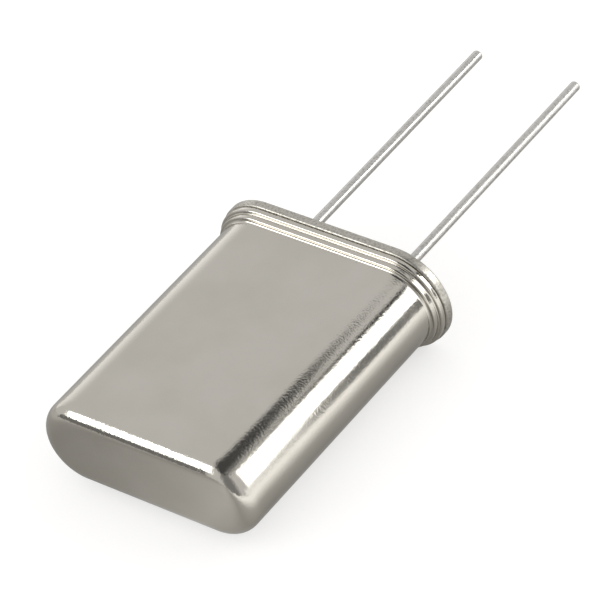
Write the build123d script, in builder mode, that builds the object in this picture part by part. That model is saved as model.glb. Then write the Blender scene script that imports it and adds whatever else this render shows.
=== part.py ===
from build123d import *
import os

# Two-lead quartz crystal unit in a resistance-welded metal can, lying on its flat side.
# X runs across the can, Y from the closed end towards the lead tips, Z through the thickness.
# The origin is the centre of the header's seating face, midway between the leads.
# "Depth" below means the distance from the seating face into the can, along -Y.

# Can: drawn from one sheet, closed at one end, with a stepped foot and a welding lip at the other
can_height = 13.4
can_width = 10.15
can_thickness = 3.82
can_wall = 0.25
end_edge_radius = 0.75
foot_overhang = 0.2
foot_depth = 0.28
foot_hollow_radius = 0.12
foot_edge_radius = 0.07
foot_root_radius = 0.05
lip_thickness = 0.28
lip_setback = 0.06
lip_edge_radius = 0.09

# Header: the stamped plate that closes the can, with a plug that rises into it
header_overhang = 0.415
header_plate_thickness = 0.42
header_edge_radius = 0.09
plug_rise = 0.55
plug_clearance = 0.08
plug_edge_radius = 0.1

# Glass seals and leads
lead_pitch = 4.88
lead_diameter = 0.45
lead_length = 14.0
lead_tip_chamfer = 0.08
lead_tinning = 0.01
bead_diameter = 1.5
bead_recess = 0.05
post_rise = 0.95
post_width = 0.5
post_thickness = 0.28

# Quartz blank, its film electrodes and the strip clips that carry it by its edges
blank_diameter = 8.0
blank_thickness = 0.166
blank_gap = 1.0
electrode_diameter = 4.5
electrode_thickness = 0.02
tab_width = 1.0
tab_clearance = 0.02
clip_strip = 0.1
clip_width = 1.4
clip_bend_radius = 0.3
clip_end_margin = 0.5
clip_foot_margin = 0.1
edge_engagement = 0.2
slot_clearance = 0.04
dot_diameter = 0.84
dot_height = 0.24
dot_inset = 0.22

# Worked out from the sizes above
half_thickness = can_thickness / 2
end_centre = (can_width - can_thickness) / 2
lip_depth = header_plate_thickness + lip_thickness
foot_top = lip_depth + foot_depth
cavity_half = half_thickness - can_wall
header_depth = header_plate_thickness + plug_rise
post_end = header_depth + post_rise
blank_radius = blank_diameter / 2
blank_depth = post_end + clip_strip + blank_gap + blank_radius
clip_face = blank_radius - edge_engagement
slot_half_length = (blank_radius**2 - clip_face**2) ** 0.5 + slot_clearance
slot_half_height = blank_thickness / 2 + electrode_thickness + slot_clearance
clip_end = blank_depth + slot_half_length + clip_end_margin
sides = {"left": -1, "right": 1}
faces = {"top": 1, "bottom": -1}


def depth_plane(x):
    """A plane across the can at x: its own x runs along +Z and its own y is depth."""
    return Plane(origin=(x, 0, 0), x_dir=(0, 0, 1), z_dir=(1, 0, 0))


def racetrack(section):
    """Carries a half section round the can's outline: along both flats, and half a turn at each side."""
    with BuildPart() as body:
        for side in sides.values():
            with BuildSketch(depth_plane(side * end_centre)):
                add(section)
            revolve(axis=Axis((side * end_centre, 0, 0), (0, side, 0)), revolution_arc=180)
        with BuildSketch(depth_plane(-end_centre)):
            add(section)
            mirror(about=Plane.YZ)
        extrude(amount=2 * end_centre)
    return body.part


def near(vertices, x, y):
    """The vertex of a section nearest to the point (x, y)."""
    return vertices.sort_by_distance((x, y, 0))[0]


def can_section():
    """Half of the drawn sheet: lip, foot step, straight wall and closed end."""
    lip_edge = half_thickness + header_overhang - lip_setback
    foot_edge = half_thickness + foot_overhang
    mouth = foot_edge - can_wall
    with BuildSketch() as sheet:
        with BuildLine():
            Polyline(
                (mouth, header_plate_thickness),
                (lip_edge, header_plate_thickness),
                (lip_edge, lip_depth),
                (foot_edge, lip_depth),
                (foot_edge, foot_top),
                (half_thickness, foot_top),
                (half_thickness, can_height),
                (0, can_height),
                (0, can_height - can_wall),
                (cavity_half, can_height - can_wall),
                (cavity_half, foot_top - can_wall),
                (mouth, foot_top - can_wall),
                close=True,
            )
        make_face()
        for x, y, radius in (
            (half_thickness, can_height, end_edge_radius),
            (cavity_half, can_height - can_wall, end_edge_radius - can_wall),
            (half_thickness, foot_top, foot_hollow_radius),
            (foot_edge, foot_top, foot_edge_radius),
            (foot_edge, lip_depth, foot_root_radius),
            (lip_edge, lip_depth, lip_edge_radius),
            (lip_edge, header_plate_thickness, lip_edge_radius),
        ):
            fillet(near(sheet.vertices(), x, y), radius)
    return sheet.sketch


def header_section():
    """Half of the header: a plate with rounded rims and the plug on it."""
    rim = half_thickness + header_overhang
    plug = cavity_half - plug_clearance
    with BuildSketch() as plate:
        with BuildLine():
            Polyline(
                (0, 0),
                (rim, 0),
                (rim, header_plate_thickness),
                (plug, header_plate_thickness),
                (plug, header_depth),
                (0, header_depth),
                close=True,
            )
        make_face()
        for x, y, radius in (
            (rim, 0, header_edge_radius),
            (rim, header_plate_thickness, header_edge_radius),
            (plug, header_depth, plug_edge_radius),
        ):
            fillet(near(plate.vertices(), x, y), radius)
    return plate.sketch


def save(built, name):
    """Names a finished piece and writes its STEP file."""
    built.part.label = name
    export_step(built.part, f"parts/{name}.step")


def build_can():
    drawn_sheet = racetrack(can_section())
    with BuildPart() as can:
        add(drawn_sheet)
    save(can, "can")


def build_header():
    stamped_plate = racetrack(header_section())
    with BuildPart() as header:
        add(stamped_plate)
        with BuildSketch(Plane.XZ):
            with GridLocations(lead_pitch, 0, 2, 1):
                Circle(bead_diameter / 2)
        extrude(amount=header_depth, mode=Mode.SUBTRACT)
    save(header, "header")


def sealed_radius(depth):
    """The wire's radius inside the glass: the tinning thins out along the seal, down to bare wire."""
    return lead_diameter / 2 - lead_tinning * depth / header_depth


def build_lead(name, side):
    """A round tinned wire through the glass, coined flat where the clip is welded to its inner end."""
    x = side * lead_pitch / 2
    radius = lead_diameter / 2
    with BuildPart() as lead:
        with BuildSketch(depth_plane(x)):
            with BuildLine():
                Polyline(
                    (0, -lead_length),
                    (radius - lead_tip_chamfer, -lead_length),
                    (radius, lead_tip_chamfer - lead_length),
                    (radius, 0),
                    (sealed_radius(header_depth), header_depth),
                    (0, header_depth),
                    close=True,
                )
            make_face()
        revolve(axis=Axis((x, 0, 0), (0, 1, 0)))
        with BuildSketch(Plane.XZ.offset(header_depth)):
            with Locations((x, 0)):
                Rectangle(post_thickness, post_width)
        extrude(amount=post_rise)
    save(lead, f"lead_{name}")


def build_bead(name, side):
    """The glass ring between lead and header, a little below the seating face."""
    x = side * lead_pitch / 2
    with BuildPart() as bead:
        with BuildSketch(depth_plane(x)):
            with BuildLine():
                Polyline(
                    (sealed_radius(bead_recess), bead_recess),
                    (bead_diameter / 2, bead_recess),
                    (bead_diameter / 2, header_depth),
                    (sealed_radius(header_depth), header_depth),
                    close=True,
                )
            make_face()
        revolve(axis=Axis((x, 0, 0), (0, 1, 0)))
    save(bead, f"glass_bead_{name}")


def build_clip(name, side):
    """A bent strip: its foot lies on the lead's post, and its upright has a slot for the blank's edge."""
    foot_start = lead_pitch / 2 - post_thickness / 2 - clip_foot_margin
    with BuildPart() as clip:
        with BuildSketch(Plane.XY.offset(-clip_width / 2)):
            with BuildLine() as route:
                FilletPolyline(
                    (side * foot_start, -post_end - clip_strip / 2),
                    (side * (clip_face + clip_strip / 2), -post_end - clip_strip / 2),
                    (side * (clip_face + clip_strip / 2), -clip_end),
                    radius=clip_bend_radius,
                )
            trace(route.line, line_width=clip_strip)
        extrude(amount=clip_width)
        with BuildSketch(Plane.YZ.offset(side * clip_face)):
            with Locations((-blank_depth, 0)):
                Rectangle(2 * slot_half_length, 2 * slot_half_height)
        extrude(amount=side * clip_strip, mode=Mode.SUBTRACT)
    save(clip, f"clip_{name}")


def build_blank():
    with BuildPart() as blank:
        with BuildSketch(Plane.XY.offset(-blank_thickness / 2)):
            with Locations((0, -blank_depth)):
                Circle(blank_radius)
        extrude(amount=blank_thickness)
    save(blank, "quartz_blank")


def build_electrode(name, face, side):
    """A round film in the middle of one face, with a tab that runs under the adhesive on one side."""
    tab_end = clip_face - tab_clearance
    with BuildPart() as electrode:
        with BuildSketch(Plane.XY.offset(face * blank_thickness / 2)):
            with Locations((0, -blank_depth)):
                Circle(electrode_diameter / 2)
            with Locations((side * tab_end / 2, -blank_depth)):
                Rectangle(tab_end, tab_width)
        extrude(amount=face * electrode_thickness)
    save(electrode, f"electrode_{name}")


def build_dot(name, face, side, on_tab):
    """A dome of conductive adhesive on the blank or on an electrode's tab, flat against the clip."""
    x = side * (clip_face - dot_inset)
    base = blank_thickness / 2 + (electrode_thickness if on_tab else 0)
    radius = dot_diameter / 2
    with BuildPart() as dot:
        with BuildSketch(Plane(origin=(x, -blank_depth, 0), x_dir=(0, 1, 0), z_dir=(1, 0, 0))):
            with BuildLine():
                Line((0, face * base), (radius, face * base))
                TangentArc((0, face * (base + dot_height)), (radius, face * base), tangent=(1, 0))
                Line((0, face * (base + dot_height)), (0, face * base))
            make_face()
        revolve(axis=Axis((x, -blank_depth, 0), (0, 0, 1)))
        split(bisect_by=Plane.YZ.offset(side * clip_face), keep=Keep.BOTTOM if side > 0 else Keep.TOP)
    save(dot, f"adhesive_{name}")


os.makedirs("parts", exist_ok=True)
build_can()
build_header()
build_blank()
for side_name, side_sign in sides.items():
    build_lead(side_name, side_sign)
    build_bead(side_name, side_sign)
    build_clip(side_name, side_sign)
for face_name, face_sign in faces.items():
    tab_side = -face_sign
    build_electrode(face_name, face_sign, tab_side)
    for side_name, side_sign in sides.items():
        build_dot(f"{side_name}_{face_name}", face_sign, side_sign, side_sign == tab_side)
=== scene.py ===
import math

import bmesh
import bpy
import numpy as np
from mathutils import Matrix, Vector


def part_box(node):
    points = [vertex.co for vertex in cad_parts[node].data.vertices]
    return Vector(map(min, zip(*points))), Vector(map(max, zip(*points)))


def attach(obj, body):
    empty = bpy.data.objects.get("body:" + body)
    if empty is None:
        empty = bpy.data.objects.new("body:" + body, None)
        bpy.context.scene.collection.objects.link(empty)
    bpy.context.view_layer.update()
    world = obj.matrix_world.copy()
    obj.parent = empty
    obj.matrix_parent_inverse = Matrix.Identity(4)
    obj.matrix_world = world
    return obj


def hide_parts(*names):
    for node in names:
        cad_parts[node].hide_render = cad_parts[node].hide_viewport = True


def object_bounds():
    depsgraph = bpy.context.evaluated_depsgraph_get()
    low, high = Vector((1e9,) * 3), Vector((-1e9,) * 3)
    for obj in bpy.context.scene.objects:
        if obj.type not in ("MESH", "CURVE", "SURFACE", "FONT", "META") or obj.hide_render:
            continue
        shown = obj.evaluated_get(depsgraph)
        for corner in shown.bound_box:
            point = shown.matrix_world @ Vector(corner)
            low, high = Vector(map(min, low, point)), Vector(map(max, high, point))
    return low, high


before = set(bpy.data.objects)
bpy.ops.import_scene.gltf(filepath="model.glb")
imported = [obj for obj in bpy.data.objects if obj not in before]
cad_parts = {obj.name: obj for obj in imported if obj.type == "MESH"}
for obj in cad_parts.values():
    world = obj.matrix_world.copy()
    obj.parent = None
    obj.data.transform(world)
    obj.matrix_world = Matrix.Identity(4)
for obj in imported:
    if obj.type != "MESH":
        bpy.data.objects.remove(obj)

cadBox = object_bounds()
mm = 0.001
print("frame loaded:", len(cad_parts), "nodes")


# ---- small helpers ----

def boxOf(node):
    """Lowest and highest corner of a node, in millimetres."""
    lo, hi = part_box(node)
    return np.array(lo) / mm, np.array(hi) / mm


def linear(hexColour):
    """An sRGB hex value as linear red, green, blue and alpha: the sRGB curve undone for each channel."""
    srgb = np.array([int(hexColour[i:i + 2], 16) for i in (1, 3, 5)]) / 255
    low = srgb / 12.92
    high = ((srgb + 0.055) / 1.055) ** 2.4
    return (*np.where(srgb <= 0.04045, low, high), 1.0)


def addNode(tree, kind, inputs=None, **settings):
    """Adds a node; a socket among the inputs is linked, anything else is set as the input's value."""
    made = tree.nodes.new(kind)
    for name, value in settings.items():
        setattr(made, name, value)
    for name, value in (inputs or {}).items():
        if isinstance(value, bpy.types.NodeSocket):
            tree.links.new(value, made.inputs[name])
        else:
            made.inputs[name].default_value = value
    return made


def newMaterial(name):
    """A material with only its output left, and its node tree."""
    made = bpy.data.materials.new(name)
    made.use_nodes = True
    tree = made.node_tree
    tree.nodes.clear()
    return made, tree, tree.nodes.new("ShaderNodeOutputMaterial")


# ---- surfaces ----

def roundedOutline(corners, steps=10, flatStep=None):
    """A closed outline of (x, y, radius) corners: each corner is an arc tangent to its two sides.

    The arc starts radius / tan(half the inner angle) before the corner, and its centre lies on the
    corner's bisector at radius / sin(half the inner angle).
    """
    points = []
    count = len(corners)
    for i in range(count):
        here = np.array(corners[i][:2], float)
        back = np.array(corners[i - 1][:2], float) - here
        on = np.array(corners[(i + 1) % count][:2], float) - here
        radius = corners[i][2]
        if radius == 0:
            points.append(here[None])
            continue
        back /= np.linalg.norm(back)
        on /= np.linalg.norm(on)
        half = math.acos(np.clip(back @ on, -1, 1)) / 2
        centre = here + (back + on) / np.linalg.norm(back + on) * radius / math.sin(half)
        start = here + back * radius / math.tan(half) - centre
        end = here + on * radius / math.tan(half) - centre
        turn = math.atan2(start[0] * end[1] - start[1] * end[0], start @ end)
        angles = np.linspace(0, turn, steps + 1)[:, None]
        normal = np.array([-start[1], start[0]])
        points.append(centre + start * np.cos(angles) + normal * np.sin(angles))
    return np.concatenate(points)


def densify(outline, longest, closed=True):
    """Divides each side of an outline that is longer than the given length into equal parts."""
    ends = np.roll(outline, -1, 0) if closed else outline[1:]
    starts = outline if closed else outline[:-1]
    parts = [
        a + (b - a) * np.arange(n)[:, None] / n
        for a, b, n in zip(starts, ends, np.maximum(1, np.ceil(np.linalg.norm(ends - starts, axis=1) / longest)).astype(int))
    ]
    if not closed:
        parts.append(outline[-1:])
    return np.concatenate(parts)


def racetrackPath(halfStraight, turnSteps, flatSteps):
    """The can's outline as (centre x, angle): along the top flat, half a turn, the bottom flat, half a turn."""
    flat = np.linspace(-halfStraight, halfStraight, flatSteps + 1)
    turn = np.linspace(0, math.pi, turnSteps + 1)
    centre = np.concatenate([flat[:-1], np.full(turnSteps, halfStraight), flat[:0:-1], np.full(turnSteps, -halfStraight)])
    angle = np.concatenate([np.zeros(flatSteps), turn[:-1], np.full(flatSteps, math.pi), math.pi + turn[:-1]])
    return centre, angle


def racetrackSurface(path, profile):
    """A profile of (offset, depth) carried round the outline.

    Each point lies its offset away from the outline's centre line, along the outline's normal, and its
    depth below the seating face: x = centre + offset * sin(angle), y = -depth, z = offset * cos(angle).
    """
    centre, angle = path
    offset, depth = profile[:, 0][:, None], profile[:, 1][:, None]
    x = centre + offset * np.sin(angle)
    y = -depth + 0 * x
    z = offset * np.cos(angle)
    return np.stack([x, y, z], -1)


def turnedSurface(profile, axisX, steps):
    """A profile of (radius, depth) turned about the line x = axisX: x = axisX + radius * sin, z = radius * cos."""
    angle = np.linspace(0, 2 * math.pi, steps, endpoint=False)
    radius, depth = profile[:, 0][:, None], profile[:, 1][:, None]
    return np.stack([axisX + radius * np.sin(angle), -depth + 0 * angle, radius * np.cos(angle)], -1)


def gridFaces(rows, columns, closeRows, closeColumns, start=0):
    """Quads between neighbouring rows and columns of a grid, round to the first again where it is closed."""
    i = np.arange(rows if closeRows else rows - 1)[:, None]
    j = np.arange(columns if closeColumns else columns - 1)[None]
    down, right = (i + 1) % rows, (j + 1) % columns
    quads = np.stack([i * columns + j, i * columns + right, down * columns + right, down * columns + j], -1)
    return quads.reshape(-1, 4) + start


def buildPiece(name, grids, replaced, material, smoothAngle=35):
    """Joins grids of points (in mm) into one closed mesh, rides it on the body and gives it its finish."""
    points, faces, start = [], [], 0
    for surface, closeRows, closeColumns in grids:
        rows, columns = surface.shape[:2]
        points.append(surface.reshape(-1, 3))
        faces.append(gridFaces(rows, columns, closeRows, closeColumns, start))
        start += rows * columns
    mesh = bpy.data.meshes.new(name)
    mesh.from_pydata((np.concatenate(points) * mm).tolist(), [], np.concatenate(faces).tolist())
    work = bmesh.new()
    work.from_mesh(mesh)
    bmesh.ops.remove_doubles(work, verts=work.verts, dist=2e-7)
    bmesh.ops.dissolve_degenerate(work, dist=1e-8, edges=work.edges)
    bmesh.ops.recalc_face_normals(work, faces=work.faces)
    work.to_mesh(mesh)
    work.free()
    mesh.polygons.foreach_set("use_smooth", np.ones(len(mesh.polygons), bool))
    mesh.set_sharp_from_angle(angle=math.radians(smoothAngle))
    piece = bpy.data.objects.new(name, mesh)
    bpy.context.scene.collection.objects.link(piece)
    mesh.materials.append(material)
    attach(piece, "root")
    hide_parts(replaced)
    return piece


# ---- materials ----

def satinNickel():
    """Nickel-plated deep-drawn steel, barrel finished: a warm grey mirror, softened by fine satin grain."""
    look = {
        "light": "#BDB9B1", "shade": "#B8B4AB",
        "roughness": 0.08, "roughnessSpread": 0.05,
        "grainSize": 0.085, "grainDepth": 0.0048,   # pits left by the barrel, in mm
        "peelSize": 0.9, "peelDepth": 0.0006,       # slow waviness of the drawn sheet
        "blotchSize": 2.6,
    }
    made, tree, out = newMaterial("satinNickel")
    place = addNode(tree, "ShaderNodeTexCoord").outputs["Object"]
    grain = addNode(tree, "ShaderNodeTexNoise", {"Vector": place, "Scale": 1 / (look["grainSize"] * mm), "Detail": 2.0, "Roughness": 0.6})
    peel = addNode(tree, "ShaderNodeTexNoise", {"Vector": place, "Scale": 1 / (look["peelSize"] * mm), "Detail": 1.0, "Roughness": 0.4})
    blotch = addNode(tree, "ShaderNodeTexNoise", {"Vector": place, "Scale": 1 / (look["blotchSize"] * mm), "Detail": 3.0, "Roughness": 0.5})
    tint = addNode(tree, "ShaderNodeValToRGB", {"Fac": blotch.outputs["Fac"]})
    tint.color_ramp.elements[0].position = 0.35
    tint.color_ramp.elements[0].color = linear(look["shade"])
    tint.color_ramp.elements[1].position = 0.65
    tint.color_ramp.elements[1].color = linear(look["light"])
    rough = addNode(tree, "ShaderNodeMapRange", {
        "Value": grain.outputs["Fac"], "From Min": 0.3, "From Max": 0.7,
        "To Min": look["roughness"], "To Max": look["roughness"] + look["roughnessSpread"],
    })
    wave = addNode(tree, "ShaderNodeBump", {"Height": peel.outputs["Fac"], "Distance": look["peelDepth"] * mm, "Strength": 1.0})
    pits = addNode(tree, "ShaderNodeBump", {
        "Height": grain.outputs["Fac"], "Distance": look["grainDepth"] * mm, "Strength": 1.0, "Normal": wave.outputs["Normal"],
    })
    metal = addNode(tree, "ShaderNodeBsdfPrincipled", {
        "Base Color": tint.outputs["Color"], "Metallic": 1.0, "Roughness": rough.outputs["Result"], "Normal": pits.outputs["Normal"],
    })
    tree.links.new(metal.outputs["BSDF"], out.inputs["Surface"])
    return made


def weldedRim():
    """Stamped steel plate with a resistance-welded edge: greyer and rougher than the can, with a ragged grain."""
    look = {
        "light": "#B4B1A9", "dark": "#8D8A83",
        "roughness": 0.3, "roughnessSpread": 0.15,
        "grainSize": 0.09, "grainDepth": 0.0018,
    }
    made, tree, out = newMaterial("weldedRim")
    place = addNode(tree, "ShaderNodeTexCoord").outputs["Object"]
    grain = addNode(tree, "ShaderNodeTexNoise", {"Vector": place, "Scale": 1 / (look["grainSize"] * mm), "Detail": 3.0, "Roughness": 0.6})
    tint = addNode(tree, "ShaderNodeValToRGB", {"Fac": grain.outputs["Fac"]})
    tint.color_ramp.elements[0].position = 0.3
    tint.color_ramp.elements[0].color = linear(look["dark"])
    tint.color_ramp.elements[1].position = 0.55
    tint.color_ramp.elements[1].color = linear(look["light"])
    rough = addNode(tree, "ShaderNodeMapRange", {
        "Value": grain.outputs["Fac"], "From Min": 0.3, "From Max": 0.7,
        "To Min": look["roughness"] + look["roughnessSpread"], "To Max": look["roughness"],
    })
    pits = addNode(tree, "ShaderNodeBump", {"Height": grain.outputs["Fac"], "Distance": look["grainDepth"] * mm, "Strength": 1.0})
    metal = addNode(tree, "ShaderNodeBsdfPrincipled", {
        "Base Color": tint.outputs["Color"], "Metallic": 1.0, "Roughness": rough.outputs["Result"], "Normal": pits.outputs["Normal"],
    })
    tree.links.new(metal.outputs["BSDF"], out.inputs["Surface"])
    return made


def tinnedWire(roughness):
    """Tin-dipped round wire: brighter than the can, with drawing lines along it and small dull specks."""
    look = {
        "light": "#BEBCB8", "dark": "#A19F9A",
        "roughnessSpread": 0.12,
        "lineWidth": 0.05, "lineLength": 2.4, "speckSize": 0.09, "depth": 0.004,
    }
    made, tree, out = newMaterial("tinnedWire")
    place = addNode(tree, "ShaderNodeTexCoord").outputs["Object"]
    drawn = addNode(tree, "ShaderNodeMapping", {"Vector": place, "Scale": (1 / look["lineWidth"] / mm, 1 / look["lineLength"] / mm, 1 / look["lineWidth"] / mm)})
    lines = addNode(tree, "ShaderNodeTexNoise", {"Vector": drawn.outputs["Vector"], "Scale": 1.0, "Detail": 2.0})
    specks = addNode(tree, "ShaderNodeTexNoise", {"Vector": place, "Scale": 1 / (look["speckSize"] * mm), "Detail": 2.0})
    tint = addNode(tree, "ShaderNodeValToRGB", {"Fac": specks.outputs["Fac"]})
    tint.color_ramp.elements[0].position = 0.33
    tint.color_ramp.elements[0].color = linear(look["dark"])
    tint.color_ramp.elements[1].position = 0.48
    tint.color_ramp.elements[1].color = linear(look["light"])
    rough = addNode(tree, "ShaderNodeMapRange", {
        "Value": lines.outputs["Fac"], "From Min": 0.3, "From Max": 0.7,
        "To Min": roughness, "To Max": roughness + look["roughnessSpread"],
    })
    pits = addNode(tree, "ShaderNodeBump", {"Height": specks.outputs["Fac"], "Distance": look["depth"] * mm, "Strength": 1.0})
    metal = addNode(tree, "ShaderNodeBsdfPrincipled", {
        "Base Color": tint.outputs["Color"], "Metallic": 1.0, "Roughness": rough.outputs["Result"], "Normal": pits.outputs["Normal"],
    })
    tree.links.new(metal.outputs["BSDF"], out.inputs["Surface"])
    return made


def sealGlass():
    """Sealing glass fused between pin and header: dark grey-green, glossy, with a few bubbles under the skin."""
    look = {"glass": "#39423F", "bubble": "#6C7773", "bubbleSize": 0.12, "ior": 1.5, "roughness": 0.08}
    made, tree, out = newMaterial("sealGlass")
    place = addNode(tree, "ShaderNodeTexCoord").outputs["Object"]
    cells = addNode(tree, "ShaderNodeTexVoronoi", {"Vector": place, "Scale": 1 / (look["bubbleSize"] * mm)})
    tint = addNode(tree, "ShaderNodeValToRGB", {"Fac": cells.outputs["Distance"]})
    tint.color_ramp.elements[0].position = 0.1
    tint.color_ramp.elements[0].color = linear(look["bubble"])
    tint.color_ramp.elements[1].position = 0.3
    tint.color_ramp.elements[1].color = linear(look["glass"])
    glass = addNode(tree, "ShaderNodeBsdfPrincipled", {
        "Base Color": tint.outputs["Color"], "Roughness": look["roughness"], "IOR": look["ior"],
    })
    tree.links.new(glass.outputs["BSDF"], out.inputs["Surface"])
    return made


def nickelStrip():
    """Cold-rolled nickel strip: yellowish grey, semi-bright, with rolling lines along the can."""
    look = {"light": "#B9B29F", "dark": "#A29B89", "roughness": 0.28, "lineWidth": 0.03, "lineLength": 1.2, "depth": 0.0006}
    made, tree, out = newMaterial("nickelStrip")
    place = addNode(tree, "ShaderNodeTexCoord").outputs["Object"]
    rolled = addNode(tree, "ShaderNodeMapping", {"Vector": place, "Scale": (1 / look["lineWidth"] / mm, 1 / look["lineLength"] / mm, 1 / look["lineWidth"] / mm)})
    lines = addNode(tree, "ShaderNodeTexNoise", {"Vector": rolled.outputs["Vector"], "Scale": 1.0, "Detail": 2.0})
    tint = addNode(tree, "ShaderNodeValToRGB", {"Fac": lines.outputs["Fac"]})
    tint.color_ramp.elements[0].color = linear(look["dark"])
    tint.color_ramp.elements[1].color = linear(look["light"])
    pits = addNode(tree, "ShaderNodeBump", {"Height": lines.outputs["Fac"], "Distance": look["depth"] * mm, "Strength": 1.0})
    metal = addNode(tree, "ShaderNodeBsdfPrincipled", {
        "Base Color": tint.outputs["Color"], "Metallic": 1.0, "Roughness": look["roughness"], "Normal": pits.outputs["Normal"],
    })
    tree.links.new(metal.outputs["BSDF"], out.inputs["Surface"])
    return made


def lappedQuartz():
    """Lapped and etched quartz: clear crystal whose matt skin scatters, so it looks like pale frosted glass."""
    look = {"tint": "#F1F3F2", "roughness": 0.22, "spread": 0.12, "pitSize": 0.012, "ior": 1.54}
    made, tree, out = newMaterial("lappedQuartz")
    place = addNode(tree, "ShaderNodeTexCoord").outputs["Object"]
    pits = addNode(tree, "ShaderNodeTexNoise", {"Vector": place, "Scale": 1 / (look["pitSize"] * mm), "Detail": 1.0})
    rough = addNode(tree, "ShaderNodeMapRange", {"Value": pits.outputs["Fac"], "To Min": look["roughness"], "To Max": look["roughness"] + look["spread"]})
    crystal = addNode(tree, "ShaderNodeBsdfPrincipled", {
        "Base Color": linear(look["tint"]), "Roughness": rough.outputs["Result"], "IOR": look["ior"], "Transmission Weight": 1.0,
    })
    tree.links.new(crystal.outputs["BSDF"], out.inputs["Surface"])
    return made


def evaporatedSilver():
    """Silver film evaporated on lapped quartz: white metal that keeps the matt grain of the crystal under it."""
    look = {"light": "#E9E6DF", "dark": "#D6D2C8", "roughness": 0.3, "spread": 0.1, "grainSize": 0.015}
    made, tree, out = newMaterial("evaporatedSilver")
    place = addNode(tree, "ShaderNodeTexCoord").outputs["Object"]
    grain = addNode(tree, "ShaderNodeTexNoise", {"Vector": place, "Scale": 1 / (look["grainSize"] * mm), "Detail": 1.0})
    tint = addNode(tree, "ShaderNodeValToRGB", {"Fac": grain.outputs["Fac"]})
    tint.color_ramp.elements[0].color = linear(look["dark"])
    tint.color_ramp.elements[1].color = linear(look["light"])
    rough = addNode(tree, "ShaderNodeMapRange", {"Value": grain.outputs["Fac"], "To Min": look["roughness"], "To Max": look["roughness"] + look["spread"]})
    metal = addNode(tree, "ShaderNodeBsdfPrincipled", {"Base Color": tint.outputs["Color"], "Metallic": 1.0, "Roughness": rough.outputs["Result"]})
    tree.links.new(metal.outputs["BSDF"], out.inputs["Surface"])
    return made


def silverAdhesive():
    """Cured silver-filled resin: a dull pale grey paste with glints of flake in it."""
    look = {"resin": "#A7A49D", "flake": "#D9D6CF", "flakeSize": 0.03, "roughness": 0.5, "metallic": 0.6}
    made, tree, out = newMaterial("silverAdhesive")
    place = addNode(tree, "ShaderNodeTexCoord").outputs["Object"]
    flakes = addNode(tree, "ShaderNodeTexVoronoi", {"Vector": place, "Scale": 1 / (look["flakeSize"] * mm)})
    tint = addNode(tree, "ShaderNodeValToRGB", {"Fac": flakes.outputs["Distance"]})
    tint.color_ramp.elements[0].position = 0.2
    tint.color_ramp.elements[0].color = linear(look["flake"])
    tint.color_ramp.elements[1].position = 0.5
    tint.color_ramp.elements[1].color = linear(look["resin"])
    paste = addNode(tree, "ShaderNodeBsdfPrincipled", {"Base Color": tint.outputs["Color"], "Metallic": look["metallic"], "Roughness": look["roughness"]})
    tree.links.new(paste.outputs["BSDF"], out.inputs["Surface"])
    return made


print("materials: functions ready")

# ---- the can ----

can = {
    "wall": 0.25, "endRadius": 0.75,
    "overhang": 0.415, "lipSetback": 0.06, "lipRadius": 0.09,
    "footOverhang": 0.2, "footTop": 0.98, "lipTop": 0.7,
    "footHollow": 0.12, "footRadius": 0.07, "rootRadius": 0.05,
    "turnSteps": 72, "flatSteps": 36, "longest": 0.5,
}
headerLo, headerHi = boxOf("header")
canLo, canHi = boxOf("can")
halfThickness = headerHi[2] - can["overhang"]
halfStraight = headerHi[0] - headerHi[2]
canHeight = -canLo[1]
plateTop = -canHi[1]
path = racetrackPath(halfStraight, can["turnSteps"], can["flatSteps"])


def canProfile():
    """The drawn sheet's section: from the middle of the closed end down the inside, round the lip and back up."""
    half, wall = halfThickness, can["wall"]
    lip = half + can["overhang"] - can["lipSetback"]
    foot = half + can["footOverhang"]
    mouth = foot - wall
    return roundedOutline([
        (0, canHeight - wall, 0),
        (half - wall, canHeight - wall, can["endRadius"] - wall),
        (half - wall, can["footTop"] - wall, 0),
        (mouth, can["footTop"] - wall, 0),
        (mouth, plateTop, 0),
        (lip, plateTop, can["lipRadius"]),
        (lip, can["lipTop"], can["lipRadius"]),
        (foot, can["lipTop"], can["rootRadius"]),
        (foot, can["footTop"], can["footRadius"]),
        (half, can["footTop"], can["footHollow"]),
        (half, canHeight, can["endRadius"]),
        (0, canHeight, 0),
    ])


nickel = satinNickel()
canSurface = racetrackSurface(path, densify(canProfile(), can["longest"], closed=False))
canPiece = buildPiece("can_shell", [(canSurface, False, True)], "can", nickel)
print("can:", len(canPiece.data.polygons), "faces")

# ---- the header ----

header = {
    "edgeRadius": 0.09, "plugEdge": 0.1, "plugClearance": 0.08,
    "holeRadius": 0.75, "holeSteps": 5, "centreSteps": 24,
}
beadLo, beadHi = boxOf("glass_bead_right")
leadX = (beadLo[0] + beadHi[0]) / 2
headerDepth = -headerLo[1]


def headerProfile():
    """The header's open section: from the seating face round the rim, over the plate and up the plug."""
    rim = halfThickness + can["overhang"]
    plug = halfThickness - can["wall"] - header["plugClearance"]
    return roundedOutline([
        (0, 0, 0),
        (rim, 0, header["edgeRadius"]),
        (rim, plateTop, header["edgeRadius"]),
        (plug, plateTop, 0),
        (plug, headerDepth, header["plugEdge"]),
        (0, headerDepth, 0),
    ])[1:-1]


def halfOutline(offset):
    """Right half of a racetrack at the given offset, closed by a straight line down the middle."""
    centre, angle = path
    x, z = centre + offset * np.sin(angle), offset * np.cos(angle)
    order = np.argsort(np.arctan2(x, z))
    x, z = x[order], z[order]
    right = x > 1e-6
    middle = np.linspace(-offset, offset, header["centreSteps"] + 1)
    return np.concatenate([np.stack([x[right], z[right]], 1), np.stack([0 * middle, middle], 1)])


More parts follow.
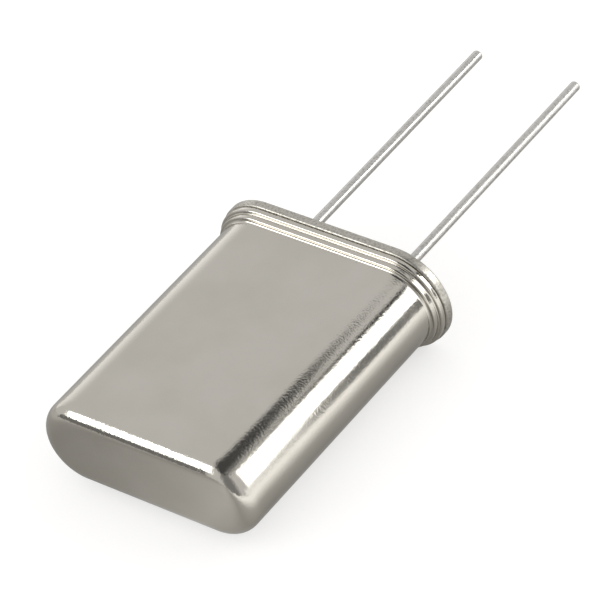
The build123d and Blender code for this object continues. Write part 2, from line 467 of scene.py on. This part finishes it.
def holedHalf(rim, plug):
    """Half of both flat faces and the hole between them, as one grid.

    Rows run from the seating face's outline in to the hole, through it, and out to the plug's outline. The
    hole's points lie on a circle round the lead, each in the direction of its outline point, and a face's
    rows are (1 - t) * outline + t * circle.
    """
    low, high = halfOutline(rim), halfOutline(plug)
    towards = low - (leadX, 0)
    circle = (leadX, 0) + towards / np.linalg.norm(towards, axis=1)[:, None] * header["holeRadius"]
    t = np.linspace(0, 1, header["holeSteps"] + 1)[:, None, None]
    flat = np.concatenate([(1 - t) * low + t * circle, t * high + (1 - t) * circle])
    depth = np.repeat([0, headerDepth], len(t))[:, None] + 0 * flat[..., 0]
    return np.stack([flat[..., 0], -depth, flat[..., 1]], -1)


rimMetal = weldedRim()
profile = headerProfile()
headerGrids = [(racetrackSurface(path, profile), False, True)]
for side in (-1, 1):
    headerGrids.append((holedHalf(profile[0, 0], profile[-1, 0]) * (side, 1, 1), False, True))
headerPiece = buildPiece("header_plate", headerGrids, "header", rimMetal)
print("header:", len(headerPiece.data.polygons), "faces")

# ---- leads and glass ----

lead = {"radius": 0.225, "tip": 0.08, "tipRound": 0.05, "steps": 40, "flatThickness": 0.28, "flatWidth": 0.5,
        "roughness": {"left": 0.18, "right": 0.32}}   # one wire is dipped smoother than the other
bead = {"recess": 0.05, "meniscus": 0.035, "steps": 64}


def leadSurface(axisX, tipDepth, endDepth):
    """A wire along Y whose section is |x/a|^n + |z/b|^n = 1: round outside, coined flat at its inner end."""
    r = lead["radius"]
    tip = lead["tip"]
    bend = np.linspace(0, math.pi / 2, 6)
    tipScale = 1 - tip / r * (1 - np.sin(bend))
    depth = np.concatenate([tipDepth + tip * (1 - np.cos(bend)), np.linspace(tipDepth + 0.5, 0, 28), [headerDepth - 0.02, headerDepth + 0.1, endDepth]])
    scale = np.concatenate([tipScale, np.ones(len(depth) - 6)])
    flat = (depth > headerDepth).astype(float)
    a = r * scale * (1 - flat) + lead["flatThickness"] / 2 * flat
    b = r * scale * (1 - flat) + lead["flatWidth"] / 2 * flat
    power = 2 * (1 - flat) + 9 * flat
    angle = np.linspace(0, 2 * math.pi, lead["steps"], endpoint=False)
    s, c = np.sin(angle), np.cos(angle)
    reach = (np.abs(s)[None] ** power[:, None] + np.abs(c)[None] ** power[:, None]) ** (-1 / power[:, None])
    ring = np.stack([axisX + a[:, None] * reach * s, -depth[:, None] + 0 * reach, b[:, None] * reach * c], -1)
    ends = [np.broadcast_to(np.array([axisX, -d, 0.0]), (1, lead["steps"], 3)) for d in (depth[0], depth[-1])]
    return np.concatenate([ends[0], ring, ends[1]])


def beadProfile():
    """The glass ring's closed section: its outer face sags between wire and header like a meniscus.

    The sag is a parabola across the ring, from nothing at both edges to the meniscus depth in the middle.
    """
    inner, outer = lead["radius"], header["holeRadius"]
    t = np.linspace(0, 1, 9)
    across = inner + (outer - inner) * t
    sag = bead["recess"] + bead["meniscus"] * 4 * t * (1 - t)
    face = np.stack([across, sag], 1)
    back = np.array([(outer, headerDepth), (inner, headerDepth)])
    return np.concatenate([face, back])


glass = sealGlass()
for name, side in (("left", -1), ("right", 1)):
    lo, hi = boxOf(f"lead_{name}")
    wire = leadSurface(side * leadX, -hi[1], -lo[1])
    buildPiece(f"lead_wire_{name}", [(wire, False, True)], f"lead_{name}", tinnedWire(lead["roughness"][name]))
    ring = turnedSurface(beadProfile(), side * leadX, bead["steps"])
    buildPiece(f"glass_seal_{name}", [(ring, True, True)], f"glass_bead_{name}", glass)
print("leads and glass seals: done")

# ---- inside the can: the CAD shapes as they are ----

insideFinishes = {"clip": nickelStrip(), "quartz": lappedQuartz(), "electrode": evaporatedSilver(), "adhesive": silverAdhesive()}
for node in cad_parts:
    kind = node.split("_")[0]
    if kind in insideFinishes:
        for place in bpy.data.objects[node].material_slots:
            place.material = insideFinishes[kind]
print("inside pieces: done")

# ---- studio ----

studio = {
    "floor": "#ADACAA", "floorGlow": 0.62, "floorHalf": 1.5,
    # the floor's glow seen only in the metal is painted: kept low near the can as painted shade, rising to the right as
    # painted light
    "paintedFloorReflection": ((-22, 0.25), (-12, 0.05), (-6, 0.0), (-2, 0.15), (2, 0.32), (5, 0.06), (8, 0.2), (11, 0.7), (17, 1.2)),   # x in mm, glow seen in the metal
    "room": 0.9,
    "lampSize": 90, "lampRadiance": 1.4,
}
lampPlaces = {"right_lamp": (79, 60, 59), "left_lamp": (-58, -87, 61)}
cards = {
    # corners in mm; only reflections see a card, so the cards light nothing and paint the highlights and dark bands
    # into the metal; a fade is solid between its middle two places along its axis
    "right_softbox": {"glow": 4.5, "fade": ("Y", -5, 35, 130, 131), "corners": [(62.4, -5, 80.6), (62.4, 60, 80.6), (69.5, 67, 74.9), (69.5, 130, 74.9), (97.9, 130, 32.1), (97.9, 62, 32.1), (100.4, 59, 23.7), (100.4, -5, 23.7)]},
    "right_skirt": {"glow": 1.5, "corners": [(100.4, -40, 23.7), (100.4, 140, 23.7), (103, 140, -2), (103, -40, -2)]},
    "right_edge": {"glow": 0.0, "corners": [(44, 57, 92.5), (62.4, 55, 80.6), (62.4, 60, 80.6), (69.5, 67, 74.9), (69.5, 115, 74.9), (52, 115, 89), (52, 67, 89)]},
    "right_low": {"glow": 0.3, "corners": [(43, 17, -2.3), (43, 29, -2.3), (43, 29, 15), (43, 15.5, 15)]},
    "left_softbox": {"glow": 5.5, "fade": ("X", -600, -440, -200, -105), "corners": [(-600, -288, 414), (-105, -288, 414), (-105, -481, 176), (-600, -475, 192)]},
    "left_low": {"glow": 0.25, "corners": [(-80, -53, -2.3), (-18, -53, -2.3), (-18, -53, 14.5), (-80, -53, 16)]},
    "left_back": {"glow": 1.4, "fade": ("Z", -9, -8, 2, 85), "corners": [(-140, 0, -2.3), (-90, 160, -2.3), (-90, 160, 90), (-140, 0, 90)]},
    "overhead": {"glow": 0.1, "fade": ("X", -15, -1, 16, 50), "corners": [(-13, 22, 60), (0, 32.4, 60), (12, 34.6, 60), (50, 24, 60), (70, -10, 60), (70, -75, 60), (10, -75, 60), (-8, -40, 60), (-14, 0, 60)]},
    "front": {"glow": 0.32, "fade": ("X", 2, 14, 36, 66), "corners": [(2, -70, -2.3), (66, -52, -2.3), (66, -52, 62), (2, -70, 62)]},
}


def addPolygon(name, corners, material):
    """One flat face through the corners, in mm."""
    mesh = bpy.data.meshes.new(name)
    mesh.from_pydata((np.array(corners) * mm).tolist(), [], [tuple(range(len(corners)))])
    made = bpy.data.objects.new(name, mesh)
    bpy.context.scene.collection.objects.link(made)
    mesh.materials.append(material)
    return made


def cardMaterial(name, look):
    """A card that shines evenly and, where a fade is given, thins out to nothing at both ends of its axis."""
    made, tree, out = newMaterial(name)
    shine = addNode(tree, "ShaderNodeEmission", {"Color": (1, 1, 1, 1), "Strength": look["glow"]})
    if "fade" not in look:
        tree.links.new(shine.outputs["Emission"], out.inputs["Surface"])
        return made
    axis, clearLow, solidLow, solidHigh, clearHigh = look["fade"]
    place = addNode(tree, "ShaderNodeSeparateXYZ", {"Vector": addNode(tree, "ShaderNodeTexCoord").outputs["Object"]})
    ends = [
        addNode(tree, "ShaderNodeMapRange", {"Value": place.outputs[axis], "From Min": clear * mm, "From Max": solid * mm}, interpolation_type="SMOOTHSTEP")
        for clear, solid in ((clearLow, solidLow), (clearHigh, solidHigh))
    ]
    solid = addNode(tree, "ShaderNodeMath", {0: ends[0].outputs["Result"], 1: ends[1].outputs["Result"]}, operation="MULTIPLY")
    clear = addNode(tree, "ShaderNodeBsdfTransparent")
    mixed = addNode(tree, "ShaderNodeMixShader", {0: solid.outputs["Value"], 1: clear.outputs["BSDF"], 2: shine.outputs["Emission"]})
    tree.links.new(mixed.outputs["Shader"], out.inputs["Surface"])
    return made


for name, look in cards.items():
    card = addPolygon(name, look["corners"], cardMaterial(name, look))
    for ray in ("camera", "diffuse", "shadow", "transmission"):
        setattr(card, "visible_" + ray, False)

for name, centre in lampPlaces.items():
    lamp = bpy.data.lights.new(name, "AREA")
    lamp.size = studio["lampSize"] * mm
    lamp.energy = studio["lampRadiance"] * math.pi * lamp.size ** 2
    holder = bpy.data.objects.new(name, lamp)
    holder.matrix_world = Matrix.Translation(Vector(centre) * mm) @ Vector(centre).to_track_quat("Z", "Y").to_matrix().to_4x4()
    holder.visible_camera = holder.visible_glossy = False
    bpy.context.scene.collection.objects.link(holder)

floorPaper, tree, out = newMaterial("floorPaper")
rays = addNode(tree, "ShaderNodeLightPath")
place = addNode(tree, "ShaderNodeSeparateXYZ", {"Vector": addNode(tree, "ShaderNodeTexCoord").outputs["Object"]})
rise = addNode(tree, "ShaderNodeFloatCurve")
spanX = [step[0] for step in studio["paintedFloorReflection"]]
along = addNode(tree, "ShaderNodeMapRange", {"Value": place.outputs["X"], "From Min": spanX[0] * mm, "From Max": spanX[-1] * mm})
tree.links.new(along.outputs["Result"], rise.inputs["Value"])
top = studio["paintedFloorReflection"][-1][1]
curve = rise.mapping.curves[0]
for i, (x, glow) in enumerate(studio["paintedFloorReflection"]):
    at = ((x - spanX[0]) / (spanX[-1] - spanX[0]), glow / top)
    if i in (0, len(studio["paintedFloorReflection"]) - 1):
        curve.points[0 if i == 0 else -1].location = at
    else:
        curve.points.new(*at)
for point in curve.points:
    point.handle_type = "VECTOR"
rise.mapping.update()
# painted reflection: glossy rays see the floor glow by x, painted shade near the can and painted light to its right
inMetal = addNode(tree, "ShaderNodeMath", {0: rays.outputs["Is Glossy Ray"], 1: top}, operation="MULTIPLY")
inMetal = addNode(tree, "ShaderNodeMath", {0: inMetal.outputs["Value"], 1: rise.outputs["Value"]}, operation="MULTIPLY")
direct = addNode(tree, "ShaderNodeMath", {0: rays.outputs["Is Camera Ray"], 1: rays.outputs["Is Transmission Ray"]}, operation="MAXIMUM")
glowing = addNode(tree, "ShaderNodeMath", {0: direct.outputs["Value"], 1: studio["floorGlow"], 2: inMetal.outputs["Value"]}, operation="MULTIPLY_ADD")
paper = addNode(tree, "ShaderNodeBsdfDiffuse", {"Color": linear(studio["floor"])})
glow = addNode(tree, "ShaderNodeEmission", {"Color": (1, 1, 1, 1), "Strength": glowing.outputs["Value"]})
both = addNode(tree, "ShaderNodeAddShader", {0: paper.outputs["BSDF"], 1: glow.outputs["Emission"]})
under = addNode(tree, "ShaderNodeNewGeometry")   # from below, the floor is left out
shown = addNode(tree, "ShaderNodeMixShader", {0: under.outputs["Backfacing"], 1: both.outputs["Shader"], 2: addNode(tree, "ShaderNodeBsdfTransparent").outputs["BSDF"]})
tree.links.new(shown.outputs["Shader"], out.inputs["Surface"])
reach, base = studio["floorHalf"] / mm, cadBox[0][2] / mm - 0.01
addPolygon("floor", [(-reach, -reach, base), (reach, -reach, base), (reach, reach, base), (-reach, reach, base)], floorPaper)

world = bpy.data.worlds.new("studioWorld")
bpy.context.scene.world = world
world.use_nodes = True
tree = world.node_tree
tree.nodes.clear()
out = tree.nodes.new("ShaderNodeOutputWorld")
rays = addNode(tree, "ShaderNodeLightPath")
room = addNode(tree, "ShaderNodeBackground", {"Color": (1, 1, 1, 1), "Strength": studio["room"]})
white = addNode(tree, "ShaderNodeBackground", {"Color": (1, 1, 1, 1), "Strength": 1.0})
direct = addNode(tree, "ShaderNodeMath", {0: rays.outputs["Is Camera Ray"], 1: rays.outputs["Is Transmission Ray"]}, operation="MAXIMUM")
choice = addNode(tree, "ShaderNodeMixShader", {0: direct.outputs["Value"], 1: room.outputs["Background"], 2: white.outputs["Background"]})
tree.links.new(choice.outputs["Shader"], out.inputs["Surface"])

camera = {
    "azimuth": 41.96, "elevation": 40.85, "roll": -10.55,
    "distance": 165.97, "lens": 248.2, "right": 1.58, "up": 1.28,
}
a, e, roll = (math.radians(camera[k]) for k in ("azimuth", "elevation", "roll"))
backward = Vector((math.sin(a) * math.cos(e), -math.cos(a) * math.cos(e), math.sin(e)))
level = Vector((math.cos(a), math.sin(a), 0))
upright = backward.cross(level)
across = level * math.cos(roll) + upright * math.sin(roll)
upward = upright * math.cos(roll) - level * math.sin(roll)
lens = bpy.data.cameras.new("camera")
lens.lens = camera["lens"]
lens.sensor_width = 36
lens.clip_start, lens.clip_end = 0.01, 10
viewer = bpy.data.objects.new("camera", lens)
place = (backward * camera["distance"] - across * camera["right"] - upward * camera["up"]) * mm
viewer.matrix_world = Matrix.Translation(place) @ Matrix((across, upward, backward)).transposed().to_4x4()
bpy.context.scene.collection.objects.link(viewer)
bpy.context.scene.camera = viewer
bpy.context.scene.view_settings.view_transform = "Standard"
print("studio: done")
